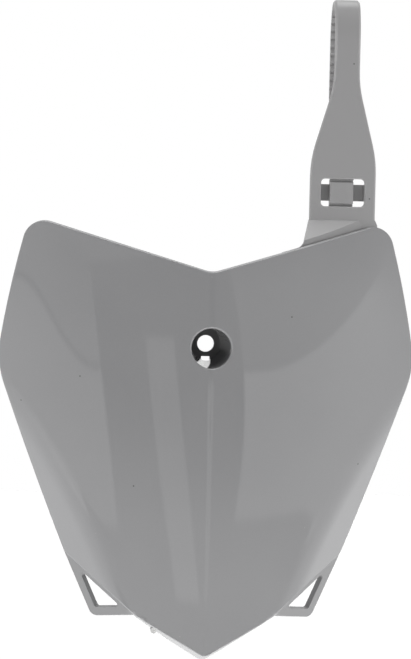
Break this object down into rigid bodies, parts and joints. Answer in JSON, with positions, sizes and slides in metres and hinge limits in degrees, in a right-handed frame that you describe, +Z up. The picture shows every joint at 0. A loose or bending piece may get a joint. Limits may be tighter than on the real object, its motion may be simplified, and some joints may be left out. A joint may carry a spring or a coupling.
{
  "type": "racing number board",
  "caption": "Front number board for an off-road motorbike: a crowned shield with a deep bolt pocket, low hose loops and a ratchet strap looped through its own keeper.",
  "frame": {"origin": "centre of the bolt hole, on the rear face of the pocket's floor", "axes": "+X to the right seen from the front, +Y back towards the forks, +Z up along the spine"},
  "size_m": [0.2448, 0.0586, 0.3906],
  "materials": {
    "grey_plastic": "smooth moulded mid grey polypropylene, glossy on the shield and satin on the strap"
  },
  "bodies": {
    "root": {"number_board": "grey_plastic"}
  },
  "joints": []
}
